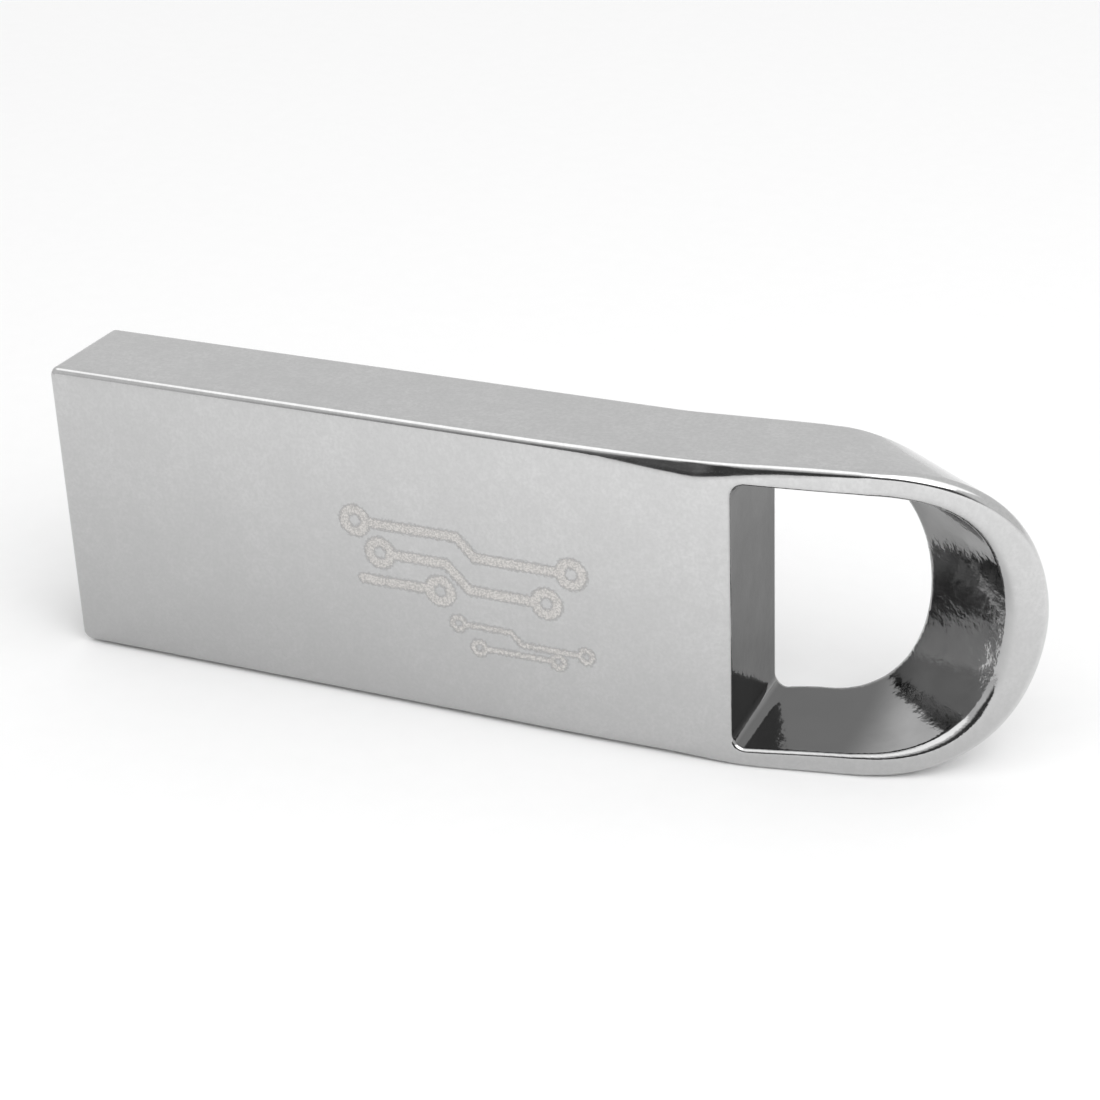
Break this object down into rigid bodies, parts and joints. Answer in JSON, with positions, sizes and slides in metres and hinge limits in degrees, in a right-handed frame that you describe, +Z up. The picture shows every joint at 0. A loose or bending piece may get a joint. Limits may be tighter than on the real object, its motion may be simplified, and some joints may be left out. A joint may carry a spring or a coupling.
{
  "type": "usb flash drive",
  "caption": "USB flash drive with a one-piece polished metal body that is plug shell and D-shaped key-ring loop in one, and a moulded storage module inside.",
  "frame": {"origin": "bottom centre of the bounding box, with the drive standing on its long narrow edge", "axes": "+X along the drive from the plug's mouth to the key-ring loop, +Y from the plain large front face to the back face, +Z up across the plug's width"},
  "size_m": [0.0392, 0.0058, 0.0124],
  "materials": {
    "body_metal": "polished, bright",
    "carrier_plastic": "moulded, fine grain",
    "glue": "clear amber film",
    "board_laminate": "dark solder mask",
    "gold": "gold plated, bright",
    "mould_epoxy": "satin black epoxy",
    "silicon": "polished silicon",
    "attach_film": "thin film",
    "crystal_can": "drawn metal can",
    "capacitor_ceramic": "fired ceramic",
    "resistor_body": "glazed ceramic",
    "solder": "bright solder"
  },
  "bodies": {
    "root": {"housing": "body_metal", "module_carrier": "carrier_plastic", "carrier_glue": "glue", "module_glue": "glue", "module_substrate": "board_laminate", "contact_vbus": "gold", "contact_d_minus": "gold", "contact_d_plus": "gold", "contact_gnd": "gold", "factory_test_pads": "gold", "mould_compound": "mould_epoxy", "controller_attach_film": "attach_film", "controller_die": "silicon", "flash_attach_film_lower": "attach_film", "flash_die_lower": "silicon", "flash_attach_film_upper": "attach_film", "flash_die_upper": "silicon", "bond_wires_controller": "gold", "bond_wires_flash": "gold", "wire_bond_pads": "gold", "clock_crystal": "crystal_can", "decoupling_capacitors": "capacitor_ceramic", "resistors": "resistor_body", "solder_joints": "solder"}
  },
  "joints": []
}
